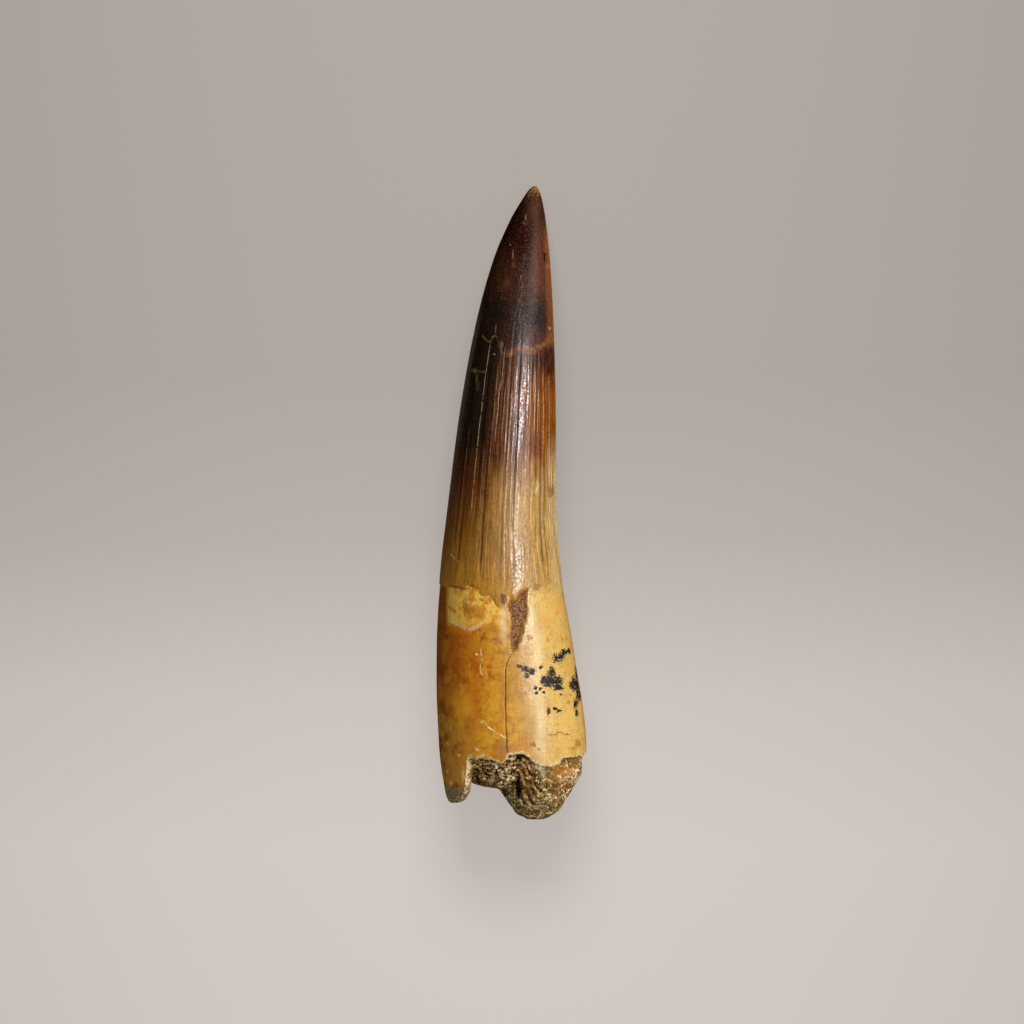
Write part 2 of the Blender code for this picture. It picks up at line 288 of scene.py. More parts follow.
def tooth_angles():
    """The columns' angles, closer together on the side that faces up."""
    front = np.arange(0, 180, FRONT_STEP)
    back = np.arange(180, 360, BACK_STEP)
    angles = np.concatenate((front, back))
    return np.where(angles > 270, angles - 360, angles)


def jagged_rim(angle):
    """The broken rim's height, with small bites out of it."""
    bite = lumps(flow_points(angle, np.zeros(angle.shape), 1), 0.9, 3, seed=3.1)
    return curve(RIM, angle) + RIM_BITES * bite


def row_heights(angle):
    """The heights of each column's points, from the rim to just short of the tip."""
    rim = jagged_rim(angle)
    edge = curve(ENAMEL_EDGE, angle)
    fracture = curve(FRACTURE, angle)
    root = [rim + (edge - rim) * i / ROOT_ROWS for i in range(ROOT_ROWS + 1)]
    start = edge + ENAMEL_BEVEL
    crown = [start + (fracture - start) * i / CROWN_ROWS for i in range(CROWN_ROWS + 1)]
    drop = LENGTH - fracture
    tip = [LENGTH - drop * (1 - i / TIP_ROWS) ** TIP_CROWDING for i in range(1, TIP_ROWS)]
    return np.array(root + crown + tip)


def relief(angle, height):
    """How far the outer surface stands out from the section, which is measured over the keels."""
    edge = curve(ENAMEL_EDGE, angle)
    fracture = curve(FRACTURE, angle)
    meander = angle + 0.5 * lumps(flow_points(angle, height, 9), 2.5, seed=7.7)
    fade = lumps(flow_points(angle, np.zeros(height.shape), 1), 1.4, seed=1.3)
    fluted = smooth_step(FLUTE_START, FLUTE_FULL, height + 3 * fade) * (
        1 - smooth_step(FLUTE_FADE, FLUTE_END, height + 7 * fade)
    )
    patchy = lumps(flow_points(angle, height, 22), 1.3, seed=12.0)
    strength = np.clip(0.6 + 1.4 * patchy, 0.08, 1.25)
    on_crown = smooth_step(edge, edge + ENAMEL_BEVEL, height)
    keel = np.exp(-((np.minimum(abs(angle), abs(angle - 180)) / CARINA_WIDTH) ** 2))
    striae = lumps(flow_points(meander, height, 14), 0.33, seed=2.0)
    grain = lumps(flow_points(meander, height, 3), 0.5, seed=9.0)
    swell = lumps(flow_points(angle, height, 1.5), 6.0, seed=5.0)
    stepped = smooth_step(60, 95, np.abs(angle))
    shape = (
        on_crown * ENAMEL * (0.2 + 0.8 * stepped)
        - fluted * strength * (1 - flute_wave(meander)) * FLUTE_DEPTH / 2
        - smooth_step(edge, edge + CARINA_RISE, height) * CARINA * (1 - keel)
        - LEDGE * np.exp(-(((height - fracture) / LEDGE_WIDTH) ** 2))
        + STRIAE * striae * (0.3 + fluted)
        + CROWN_GRAIN * grain
        + ROOT_SWELL * swell * (1 - on_crown)
    )
    wave = 0.4 + (flute_wave(meander) - 0.4) * strength
    return shape * smooth_step(0, 6, LENGTH - height), wave


def wall(angle, height):
    """The root wall's thickness, greatest at the prong and growing up the tooth."""
    thick = WALL_THIN + (WALL_THICK - WALL_THIN) * np.exp(
        -(((angle - PRONG_ANGLE) / PRONG_SPREAD) ** 2)
    )
    return thick + SOCKET_TAPER * height / SOCKET_ROOF


def grid_faces(rows, columns):
    """Quads between each ring of vertices and the next, numbered ring by ring."""
    index = np.arange(rows * columns).reshape(rows, columns)
    beside = np.roll(index, -1, axis=1)
    quads = np.stack((index[:-1], beside[:-1], beside[1:], index[1:]), axis=-1)
    return quads.reshape(-1, 4).tolist()


def cap_faces(ring, pole, turned):
    """Triangles that close a ring of vertices to one vertex."""
    beside = ring[1:] + ring[:1]
    if turned:
        return [(b, a, pole) for a, b in zip(ring, beside)]
    return [(a, b, pole) for a, b in zip(ring, beside)]


def make_piece(name, grid, start, end, fields, material):
    """A closed object from rings of points in millimetres, with its fields as attributes."""
    rows, columns = grid.shape[:2]
    count = rows * columns
    points = np.concatenate((grid.reshape(-1, 3), [start, end])) * MM
    faces = grid_faces(rows, columns)
    faces += cap_faces(list(range(columns)), count, True)
    faces += cap_faces(list(range(count - columns, count)), count + 1, False)
    data = bpy.data.meshes.new(name)
    data.from_pydata(points.tolist(), [], faces)
    for field, values in fields.items():
        ends = (values[0].mean(), values[-1].mean())
        flat = np.concatenate((values.reshape(-1), ends)).astype(np.float32)
        data.attributes.new(field, "FLOAT", "POINT").data.foreach_set("value", flat)
    lay_out(data, rows, columns)
    data.materials.append(material)
    data.shade_smooth()
    made = bpy.data.objects.new(name, data)
    bpy.context.scene.collection.objects.link(made)
    return made


def lay_out(data, rows, columns):
    """A map of the surface for baking: columns across and rings upwards, one tile each."""
    row, column = np.mgrid[1:rows, 0:columns]
    right, above = column + 1, row + 1
    quads = np.stack((column, row, right, row, right, above, column, above), axis=-1)
    column, right, row = column[0], right[0], row[0]
    start = np.stack((right, row, column, row, column + 0.5, row * 0), axis=-1)
    end = np.stack((column, row * rows, right, row * rows, column + 0.5, row * (rows + 1)), axis=-1)
    places = np.concatenate([part.reshape(-1, 2) for part in (quads, start, end)])
    layout = data.uv_layers.new(name="OFBake")
    layout.data.foreach_set("uv", (places / (columns, rows + 1)).astype(np.float32).reshape(-1))


def make_tooth(material):
    """Crown and root in one piece, with the broken rim and the hollow behind it."""
    angles = tooth_angles()
    heights = row_heights(angles)
    angle = np.broadcast_to(angles, heights.shape)
    raised, wave = relief(angle, heights)
    plain = ring_points(angle, heights)
    front = np.sin(np.radians(angle))
    jag_x = plain[..., 0] + CHIP_JAG * lumps(plain, 0.7, 2, seed=21.0)
    jag_h = heights + 0.35 * lumps(plain, 0.9, 2, seed=25.0)
    chip = np.where(front > 0, inside_chip(jag_x, jag_h), -9.0)
    offset, beside = crack_offset(plain[..., 0], heights)
    beside = beside * (front > 0)
    rough = lumps(plain, 0.7, 3, seed=4.0)
    raised = raised - smooth_step(-0.1, 0.35, chip) * (CHIP_DEPTH + CHIP_ROUGH * rough)
    raised = raised - beside * CRACK_DEPTH * np.exp(-((offset / CRACK_WIDTH) ** 2))
    outer = ring_points(angle, heights, -raised)
    outer[..., 2] = np.maximum(outer[..., 2], 0.0)
    rim_rows, rim_heights, rim_shares = broken_rim(angles, heights[0])
    grid = np.concatenate((rim_rows, outer))
    all_heights = np.concatenate((rim_heights, heights))
    extra = len(rim_rows)

    def padded(values, low):
        return np.concatenate((np.full((extra, len(angles)), low), values))

    def each_row(values):
        return np.broadcast_to(values, all_heights.shape)

    rim_shares = np.broadcast_to(rim_shares[:, None], (extra, len(angles)))
    fields = {
        "height": all_heights,
        "turn": each_row(np.where(angles < -90, angles + 360, angles)),
        "side": each_row(np.cos(np.radians(angles))),
        "front": each_row(np.sin(np.radians(angles))),
        "wave": padded(wave, 0.0),
        "crack": padded(beside * np.exp(-((offset / CRACK_WIDTH) ** 2)), 0.0),
        "crown": all_heights - curve(ENAMEL_EDGE, angles),
        "above_break": all_heights - curve(FRACTURE, angles),
        "chip": padded(chip, -9.0),
        "rim": np.concatenate((rim_shares, heights - heights[0])),
    }
    start = ring_points(0, SOCKET_ROOF + 1.5, LENGTH)
    end = ring_points(0, LENGTH)
    return make_piece("tooth_fossil", grid, start, end, fields, material)


def broken_rim(angles, rim):
    """Rings of points from the hollow's roof down to the rim, and across the broken edge."""
    rings, ring_heights, shares = [], [], [-2.5] * 5
    for share in (1.0, 0.7, 0.4, 0.2, 0.08):
        height = rim + (SOCKET_ROOF - rim) * share
        rings.append(ring_points(angles, height, wall(angles, height)))
        ring_heights.append(height)
    for share in (1.0, 0.8, 0.6, 0.4, 0.2):
        height = rim + 0.25 * share - 0.12 * math.sin(math.pi * share)
        ring = ring_points(angles, height, wall(angles, height) * share)
        ring += RIM_GRAIN * lumps(ring, 0.5, 2, seed=share * 3)[:, None]
        rings.append(ring)
        ring_heights.append(height)
        shares.append(-1.0 - share)
    return np.array(rings), np.array(ring_heights), np.array(shares)


# Height, left edge, right edge and depth of the sandstone where it stands out of the root.
STONE_SECTIONS = (
    (-0.05, 2.90, 5.10, 2.0),
    (0.8, 0.95, 6.75, 5.8),
    (1.9, 0.0, 7.75, 8.4),
    (3.4, -0.7, 8.60, 10.4),
    (4.75, -1.9, 9.40, 12.0),
    (5.3, -5.0, 9.75, 13.0),
    (5.9, -6.7, 10.05, 13.8),
    (6.6, -8.2, 10.75, 14.6),
    (7.7, -8.9, 11.1, 15.4),
    (9.0, -9.2, 11.2, 15.8),
    (12.0, -9.0, 10.6, 15.4),
)
STONE_LEVEL = 8.9
STONE_ROWS = 200
STONE_COLUMNS = 400
STONE_TOP = 12.0
LUMP = 0.35
LUMP_SIZE = 2.6
STONE_GRAIN = 0.1

# The hollow, smooth block and pit of the sandstone: across, height, half the width and height.
HOLLOW = (1.1, 4.9, 0.45, 1.5)
BLOCK = (8.2, 7.6, 2.1, 2.0)
PIT = (1.2, 10.0, 0.55, 0.5)
BLOCK_RISE = 0.45
RIDGE_RISE = 0.28
RIDGE_STEP = 1.15
STONE_SLANT = 0.55
HOLLOW_DEPTH = 1.1
PIT_DEPTH = 0.8
STONE_RIGHT = 11.8
STONE_CLEAR = 0.35

# Stains and painted shade on the sandstone: across, height, half the width, half the height,
# colour, strength and soft edge.
STONE_STAINS_AND_PAINTED_SHADE = (
    (8.2, 7.8, 2.2, 2.1, "b67a34", 0.75, 0.9),
    (8.3, 9.1, 1.0, 0.4, "3c2410", 0.75, 0.9),
    (2.8, 7.6, 1.3, 2.4, "9c6424", 0.5, 0.9),
    (4.4, 8.7, 1.1, 0.5, "e4cc98", 0.6, 0.9),
    (4.9, 7.6, 0.5, 1.3, "e8d09c", 0.6, 0.9),
    # Painted shade: near black in the hollow and the pit, and dark on the lobe's left slope.
    (1.1, 4.9, 0.5, 1.6, "0e0a06", 0.9, 0.6),
    (1.1, 10.0, 0.6, 0.6, "0e0a06", 0.9, 0.5),
    (-1.0, 4.0, 0.8, 1.8, "1a140c", 0.8, 0.7),
    (0.0, 2.9, 0.7, 0.9, "1a140c", 0.7, 0.8),
    (3.2, 4.2, 0.3, 1.4, "20150a", 0.7, 0.7),
    (2.7, 5.4, 0.6, 1.6, "9c601c", 0.6, 0.9),
    (4.8, 2.6, 3.6, 2.4, "8c7c4a", 0.35, 0.9),
    (-2.9, 6.3, 0.35, 0.3, "ccb888", 0.6, 0.9),
)


def bell(points, spot):
    """1 at the middle of an oval and about 0 past its edge."""
    x, height, wide, tall = spot
    off_x, off_h = (points[..., 0] - x) / wide, (points[..., 1] + MID_HEIGHT - height) / tall
    return np.exp(-((off_x**2 + off_h**2) ** 2))


def stone_features(points, turn):
    """The hollow, the slanting ridges and the smooth block on the side that faces up."""
    front = smooth_step(0.0, 0.3, np.sin(turn))
    x, height = points[..., 0], points[..., 1] + MID_HEIGHT
    slant = (x + STONE_SLANT * height) / RIDGE_STEP
    ridges = np.abs(np.sin(math.pi * slant + 1.2 * lumps(points, 1.8, seed=8.0)))
    where = np.exp(-(((x - 2.6) / 2.6) ** 4)) * smooth_step(1.5, 4.0, height)
    shape = BLOCK_RISE * bell(points, BLOCK) + RIDGE_RISE * (ridges - 0.5) * where
    return front * (shape - HOLLOW_DEPTH * bell(points, HOLLOW) - PIT_DEPTH * bell(points, PIT))


def make_stone(material):
    """The sandstone that fills the hollow of the root and stands out of it as a lobe."""
    angles = np.linspace(-90, 270, STONE_COLUMNS, endpoint=False)
    share = np.linspace(0, 1, STONE_ROWS) ** 1.5
    heights = STONE_TOP - (STONE_TOP + 0.04) * (1 - share[::-1])
    angle, height = np.meshgrid(angles, heights)
    left, right, depth = (curve([(r[0], r[i]) for r in STONE_SECTIONS], height) for i in (1, 2, 3))
    turn = np.radians(angle)
    middle = (left + right) / 2
    x = middle + np.cos(turn) * (right - left) / 2
    z = STONE_LEVEL + np.sin(turn) * depth / 2
    plain = np.stack((x, height - MID_HEIGHT, z), axis=-1)
    outward = plain - np.stack((middle, plain[..., 1], np.full(x.shape, STONE_LEVEL)), axis=-1)
    outward /= np.linalg.norm(outward, axis=-1, keepdims=True)
    coarse = 1.6 * lumps(plain, LUMP_SIZE) + 0.7 * lumps(plain, LUMP_SIZE * 0.4)
    raised = LUMP * np.clip(coarse, -1, 1) + STONE_GRAIN * lumps(plain, 0.42, 2, seed=6.0)
    raised = raised + stone_features(plain, turn)
    grid = plain + outward * raised[..., None]
    grid[..., 0] = np.minimum(grid[..., 0], STONE_RIGHT)
    grid[..., 1] = np.maximum(grid[..., 1], -MID_HEIGHT)
    grid[..., 2] = np.maximum(grid[..., 2], STONE_CLEAR)
    fields = {"raised": raised, "front": np.sin(turn)}
    start = np.array((0.8, STONE_TOP - MID_HEIGHT, STONE_LEVEL))
    end = np.array((4.1, -MID_HEIGHT, STONE_LEVEL))
    return make_piece("sandstone_fill", grid, start, end, fields, material)


def linear(code):
    """The linear colour of a hex code."""
    shares = [int(code[i : i + 2], 16) / 255 for i in (0, 2, 4)]
    return (*[s / 12.92 if s <= 0.04045 else ((s + 0.055) / 1.055) ** 2.4 for s in shares], 1.0)


class Graph:
    """The nodes of one material. An input is another node's socket, a number or a hex colour."""

    def __init__(self, name):
        self.material = bpy.data.materials.new(name)
        self.material.use_nodes = True
        self.tree = self.material.node_tree
        self.shader = self.tree.nodes["Principled BSDF"]
        metres = self.node("TexCoord").outputs["Object"]
        self.place = self.vector_math("MULTIPLY", metres, (1 / MM,) * 3)

    def node(self, kind, **settings):
        made = self.tree.nodes.new("ShaderNode" + kind)
        for key, value in settings.items():
            setattr(made, key, value)
        return made

    def feed(self, socket, value):
        if isinstance(value, bpy.types.NodeSocket):
            self.tree.links.new(value, socket)
        elif isinstance(value, str):
            socket.default_value = linear(value)
        else:
            socket.default_value = value

    def fill(self, made, *values):
        """Feeds a node's inputs in their order, and gives its first output."""
        for socket, value in zip(made.inputs, values):
            self.feed(socket, value)
        return made.outputs[0]

    def put(self, made, **values):
        """Feeds a node's inputs by their names."""
        for name, value in values.items():
            self.feed(made.inputs[name], value)

    def math(self, operation, *values):
        return self.fill(self.node("Math", operation=operation), *values)

    def vector_math(self, operation, *values):
        return self.fill(self.node("VectorMath", operation=operation), *values)

    def add(self, *values):
        return reduce(partial(self.math, "ADD"), values)

    def times(self, *values):
        return reduce(partial(self.math, "MULTIPLY"), values)

    def plus(self, value, **shares):
        """A value with some of the material's noises added by name, each times its share."""
        for name, share in shares.items():
            value = self.math("MULTIPLY_ADD", getattr(self, name), share, value)
        return value

    def mix_number(self, share, low, high):
        """A number spread evenly from low to high by a share from 0 to 1."""
        return self.math("MULTIPLY_ADD", share, high - low, low)

    def parts(self, vector):
        made = self.node("SeparateXYZ")
        self.fill(made, vector)
        return made.outputs

    def vector(self, x, y, z):
        return self.fill(self.node("CombineXYZ"), x, y, z)

    def warp(self, vector, scale, amount):
        """Places moved about by noise."""
        made = self.node("TexNoise")
        self.put(made, Vector=vector, Scale=scale)
        shift = self.vector_math("SUBTRACT", made.outputs["Color"], (0.5,) * 3)
        return self.vector_math("MULTIPLY_ADD", shift, (amount,) * 3, vector)

    def oval(self, point, x, height, wide, tall):
        """How far a place is from an oval's middle: 1 at its edge."""
        off = self.vector_math("SUBTRACT", point, (x, height, 0.0))
        share = self.vector_math("DIVIDE", off, (wide, tall, 1.0))
        size = self.node("VectorMath", operation="LENGTH")
        self.fill(size, share)
        return size.outputs["Value"]

    def smooth(self, value, low, high):
        """0 at low, 1 at high, with a smooth rise. High may be below low."""
        made = self.node("MapRange", interpolation_type="SMOOTHSTEP")
        return self.fill(made, value, low, high, 0.0, 1.0)

    def between(self, value, rise, fall):
        """1 past a rise and before a fall, each given by where it is 0 and where it is 1."""
        return self.times(self.smooth(value, *rise), self.smooth(value, *fall))

    def mix(self, share, low, high, blend):
        made = self.node("Mix", data_type="RGBA", blend_type=blend)
        for socket, value in zip((made.inputs[0], made.inputs[6], made.inputs[7]), (share, low, high)):
            self.feed(socket, value)
        return made.outputs[2]

    def paint(self, colour, over, *shares, blend="MIX"):
        """A colour with another laid over it, by the product of some shares."""
        return self.mix(self.times(*shares), colour, over, blend)

    def dim(self, colour, share):
        """A colour times a number."""
        return self.mix(1.0, colour, self.vector(share, share, share), "MULTIPLY")

    def ramp(self, value, stops, low=0.0, high=1.0):
        """A colour that goes through (place, hex colour) stops, with places from low to high."""
        made = self.node("ValToRGB")
        elements = made.color_ramp.elements
        for index, (place, code) in enumerate(stops):
            share = (place - low) / (high - low)
            element = elements[index] if index < 2 else elements.new(share)
            element.position = share
            element.color = linear(code)
        return self.fill(made, self.math("MULTIPLY_ADD", value, 1 / (high - low), -low / (high - low)))

    def profile(self, value, points):
        """A number that follows a line through (place, number) points."""
        (first, _), (last, _) = points[0], points[-1]
        numbers = [number for _, number in points]
        low, high = min(numbers), max(numbers)
        made = self.node("FloatCurve")
        line = made.mapping.curves[0]
        for index, (place, number) in enumerate(points):
            x, y = (place - first) / (last - first), (number - low) / (high - low)
            if index in (0, len(points) - 1):
                line.points[0 if index == 0 else -1].location = (x, y)
            else:
                line.points.new(x, y)
        made.mapping.update()
        self.put(made, Value=self.fill(self.node("MapRange"), value, first, last, 0.0, 1.0))
        return self.mix_number(made.outputs[0], low, high)

    def noise(self, vector, scale, detail=2.0, roughness=0.5, distortion=0.0):
        """Noise with its middle at 0."""
        made = self.node("TexNoise")
        self.put(made, Vector=vector, Scale=scale, Detail=detail)
        self.put(made, Roughness=roughness, Distortion=distortion)
        return self.math("SUBTRACT", made.outputs[0], 0.5)

    def cells(self, vector, scale):
        made = self.node("TexVoronoi")
        self.put(made, Vector=vector, Scale=scale)
        return made.outputs

    def field(self, name):
        """A value that the mesh carries at each of its points."""
        return self.node("Attribute", attribute_name=name).outputs["Fac"]

    def bump(self, height, distance, strength):
        made = self.node("Bump")
        self.put(made, Height=height, Distance=distance, Strength=strength)
        return made.outputs[0]

    def trace(self, along, across, points, width):
        """1 on a thin line drawn through (along, across) points, and 0 away from it."""
        first, last = points[0][0], points[-1][0]
        off = self.math("ABSOLUTE", self.math("SUBTRACT", across, self.profile(along, points)))
        ends = self.between(along, (first - 0.1, first + 0.1), (last + 0.1, last - 0.1))
        return self.times(self.smooth(off, width, width * 0.35), ends)

    def finish(self, colour, roughness, specular, normal=None):
        self.feed(self.shader.inputs["Base Color"], colour)
        self.feed(self.shader.inputs["Roughness"], roughness)
        self.shader.inputs["Specular IOR Level"].default_value = specular
        if normal is not None:
            self.feed(self.shader.inputs["Normal"], normal)
        return self.material


# The camera's field: this many millimetres fit across the picture, seen from far above.
FIELD = 161.26
CAMERA_LENS = 250.0
SENSOR = 36.0
OBJECT_LEVEL = 8.5
VIEW_X = 0.16
VIEW_HEIGHT = 48.35

# The backdrop's colours along the tooth, with painted shade that makes it darker towards the tip;
# how much painted shade darkens it at the picture's sides; and the shares of its light that come
# from the lamps and from its own glow, which is painted light.
FLOOR_COLOURS_AND_FALLOFF = (
    (-55.0, "dcd3cd"),
    (-30.0, "d3cbc4"),
    (-5.0, "bdb5ae"),
    (20.0, "b2aaa3"),
    (80.0, "aea69f"),
)
FLOOR_FALL = 0.32
FLOOR_LIT = 0.28
FLOOR_GLOW = 0.66


def floor_material():
    """A backdrop with painted shade that darkens it towards the tip of the tooth and at the picture's
    sides. Part of it glows as painted light, so shadows stay soft.
    """
    g = Graph("backdrop")
    x, y, _ = g.parts(g.place)
    # Painted shade: the backdrop is darker towards the picture's sides.
    even = g.math("MULTIPLY_ADD", g.times(x, x), -FLOOR_FALL / FIELD**2, 0.96)
    # The colours carry painted shade that darkens the backdrop towards the tip.
    colour = g.dim(g.ramp(y, FLOOR_COLOURS_AND_FALLOFF, -100.0, 100.0), even)
    # Painted light: part of the backdrop's brightness is its own glow, which softens the shadows.
    g.feed(g.shader.inputs["Emission Color"], g.dim(colour, FLOOR_GLOW))
    g.shader.inputs["Emission Strength"].default_value = 1.0
    return g.finish(g.dim(colour, FLOOR_LIT), 0.9, 0.0)


# The colours of the enamel and the root.
HONEY = "b07a20"
SAND = "ac8242"
TAN = "986c30"
BRONZE = "84520c"
AMBER = "80440c"
CHESTNUT = "5a2c0a"
UMBER = "381d0e"
EBONY = "24160b"
SMOKE = "2c1f18"
RUSSET = "502b1c"
OXBLOOD = "220b06"
CLAY = "462a1c"
CAP = "a06c30"
BARK = "6c3808"
OCHRE = "a85c06"
GOLD = "c47c0a"
DUN = "ac7e30"
CREAM = "d0a858"
BUFF = "c49a50"

# From the darkest speck to the palest: the broken edge, its dirt and the sandstone's grains.
BONE = ((-0.25, "8a6c3c"), (0.0, "c8ac74"), (0.2, "f0e2bc"))
GRIT = ((-0.2, "1e160c"), (0.0, "7a6236"), (0.2, "c4ac74"))
SAND_GRAINS = (
    (0.0, "100b06"),
    (0.18, "2e1f0e"),
    (0.34, "6c4a20"),
    (0.5, "8a6434"),
    (0.7, "a88c58"),
    (1.0, "e0cfa4"),
)

# The heights where the enamel's colour turns, near its left edge, at its middle and on its right.
ENAMEL_LEFT = (
    (34.0, HONEY), (44.0, BRONZE), (52.0, CHESTNUT), (60.0, EBONY), (80.0, EBONY), (86.0, UMBER),
    (92.0, OXBLOOD), (97.0, OXBLOOD), (98.7, CLAY), (100.0, CAP),
)
ENAMEL_MIDDLE = (
    (34.0, HONEY), (42.0, TAN), (51.0, TAN), (57.0, CHESTNUT), (69.0, CHESTNUT), (73.0, UMBER),
    (80.0, SMOKE), (85.0, UMBER), (91.0, OXBLOOD), (98.7, CLAY), (100.0, CAP),
)
ENAMEL_RIGHT = (
    (34.0, SAND), (51.0, SAND), (58.0, AMBER), (67.0, AMBER), (72.0, UMBER), (75.5, RUSSET),
    (79.0, SMOKE), (84.0, RUSSET), (92.0, RUSSET), (95.0, UMBER), (98.7, CLAY), (100.0, CAP),
)
# Side to side and colour of the root: -1 is the left edge and 1 the right edge.
ROOT_COLOURS = (
    (-1.0, BARK), (-0.8, OCHRE), (-0.4, GOLD), (0.15, DUN), (0.65, CREAM), (1.0, BUFF),
)

# Stains, worn patches, pits and some painted highlights on the side that faces up: across, height,
# half the width, half the height, colour, strength, and how soft the edge is.
STAINS_AND_PAINTED_HIGHLIGHTS = (
    (-6.3, 32.9, 1.25, 1.05, "a4560a", 0.75, 0.9),
    (-5.0, 32.1, 0.9, 0.6, "a8600e", 0.7, 0.6),
    (-7.2, 33.6, 0.5, 1.4, "8a4408", 0.6, 0.9),
    (-4.57, 34.65, 0.5, 0.22, "9a6014", 0.8, 0.4),
    # Painted highlight: two pale cream strips beside the chip stand partly for highlight lines.
    (-1.15, 31.0, 0.6, 4.2, "e8cca0", 0.45, 0.9),
    (3.2, 31.2, 0.7, 3.4, "ecd8ac", 0.5, 0.9),
    # Painted highlight: pale cream down the root's right part, partly real cream and partly a highlight
    # band.
    (4.2, 25.0, 1.0, 8.0, "e6cf9c", 0.35, 0.9),
    (4.6, 13.5, 0.9, 5.0, "e4cd98", 0.45, 0.9),
    (1.7, 11.9, 1.6, 1.5, "c47414", 0.75, 0.8),
    (-0.9, 11.0, 1.9, 1.9, "9c6238", 0.6, 0.8),
    (-8.6, 25.5, 1.3, 4.0, "9a4c06", 0.55, 0.9),
    (-5.6, 27.0, 2.0, 3.0, "b4680c", 0.5, 0.9),
    (-7.6, 18.0, 1.6, 3.0, "dc961a", 0.6, 0.9),
    (-5.4, 20.5, 0.8, 4.6, "b45c06", 0.65, 0.9),
    (-1.26, 34.88, 0.5, 0.94, "6a4020", 0.9, 0.35),
    (2.83, 28.66, 0.54, 0.57, "94602c", 0.9, 0.4),
    (3.53, 11.97, 0.47, 0.41, "7a3c10", 0.85, 0.5),
    (4.38, 11.24, 0.28, 0.25, "7a3c10", 0.7, 0.5),
    (2.25, 20.0, 0.28, 0.25, "84450e", 0.9, 0.4),
    (8.43, 35.51, 0.25, 0.79, "5c2410", 0.85, 0.4),
    (10.63, 12.13, 0.55, 0.63, "94602c", 0.7, 0.5),
    (9.76, 11.34, 0.47, 0.31, "a0682c", 0.6, 0.5),
    (5.4, 31.2, 1.3, 1.5, "cf9440", 0.6, 0.9),
    (7.4, 33.2, 1.6, 1.0, "d09a40", 0.5, 0.9),
    (-10.04, 7.6, 0.2, 0.2, "e0c48c", 0.5, 0.9),
    (-8.1, 10.3, 0.32, 0.2, "f0e0b8", 0.85, 0.9),
    (-5.3, 11.2, 0.3, 0.22, "e6cf9c", 0.7, 0.7),
    (-4.2, 10.4, 0.22, 0.25, "e6cf9c", 0.6, 0.7),
    (-9.5, 14.4, 0.12, 0.45, "dcbc84", 0.7, 0.7),
    (-9.9, 12.1, 0.12, 0.3, "d4b07c", 0.6, 0.7),
    (-5.4, 26.1, 0.25, 0.25, "f0d8a0", 0.7, 0.5),
    (-8.58, 5.61, 0.54, 0.44, "6a3410", 0.85, 0.4),
    (-9.4, 5.5, 0.2, 0.75, "e8d4a4", 0.7, 0.6),
    (-7.55, 7.1, 0.25, 1.3, "e8d4a4", 0.7, 0.7),
    (-8.6, 8.5, 1.6, 3.6, "bc8230", 0.6, 0.9),
    (-5.6, 70.55, 0.6, 0.4, "7d6a30", 0.7, 0.9),
    (-5.45, 69.2, 0.2, 1.0, "7d6430", 0.6, 0.9),
    (-4.5, 70.4, 0.5, 0.14, "6a5a28", 0.6, 0.9),
    (-5.1, 68.0, 0.22, 0.9, "6a4a20", 0.5, 0.7),
    (-1.5, 74.7, 0.25, 0.7, "8a682e", 0.6, 0.9),
    (-2.45, 77.2, 0.14, 0.8, "8a6a48", 0.7, 0.5),
    (-2.5, 74.9, 0.2, 0.55, "0c0604", 0.9, 0.4),
    (-2.6, 73.2, 0.1, 0.18, "a09080", 0.7, 0.5),
    (3.8, 58.8, 1.3, 2.6, "552a10", 0.55, 0.9),
    (1.0, 61.0, 1.2, 4.0, "3c1c0c", 0.4, 0.9),
    (5.9, 70.6, 0.55, 1.0, "2c0e0a", 0.85, 0.5),
    (5.3, 72.6, 0.9, 1.4, "3a1610", 0.7, 0.8),
    (6.3, 73.8, 0.3, 0.5, "2c0e0a", 0.7, 0.6),
    (4.2, 79.2, 1.6, 2.8, "241c1a", 0.8, 0.8),
    (-2.6, 80.0, 2.2, 2.4, "16130f", 0.7, 0.9),
    (-0.6, 84.4, 0.7, 0.9, "6a402a", 0.4, 0.9),
    (5.3, 88.6, 0.25, 0.8, "120805", 0.9, 0.5),
    (5.9, 87.2, 0.35, 0.3, "9a602c", 0.7, 0.6),
    (2.4, 95.0, 0.12, 0.5, "b88a68", 0.7, 0.5),
    (1.9, 94.0, 0.1, 0.2, "b88a68", 0.6, 0.5),
    (0.3, 89.0, 0.12, 0.8, "a8744c", 0.6, 0.6),
    (0.5, 87.4, 0.3, 0.7, "7a4c2c", 0.5, 0.7),
    (-0.1, 90.6, 0.25, 0.1, "a08060", 0.6, 0.5),
    (6.2, 77.3, 0.1, 0.3, "c8a078", 0.8, 0.5),
    (6.3, 51.6, 0.7, 1.0, "7c4c24", 0.6, 0.7),
    (4.1, 52.2, 0.32, 1.6, "c4ac6c", 0.6, 0.5),
    (3.9, 36.6, 0.8, 0.7, "7a5024", 0.6, 0.6),
)

# Thin lines on the side that faces up: whether they run along the tooth, colour, strength, half
# the width, and their points. A point's first number is its place along the line's run.
LINES = (
    (False, "a08448", 0.85, 0.13, BREAK_LINE),
    (False, "4c2408", 0.85, 0.12, PATCH_TOP),
    (False, "ecd090", 0.4, 0.6, PATCH_BOTTOM),
    (False, "f0d8a8", 0.9, 0.2, SCRATCH),
    (False, "8c5418", 0.6, 0.09, SIDE_CRACK),
    (False, "7c3c18", 0.85, 0.14, WIGGLE),
    (False, "dcc49a", 0.8, 0.15, NICK),
    (True, "ecd09c", 0.7, 0.12, FLAKE),
)

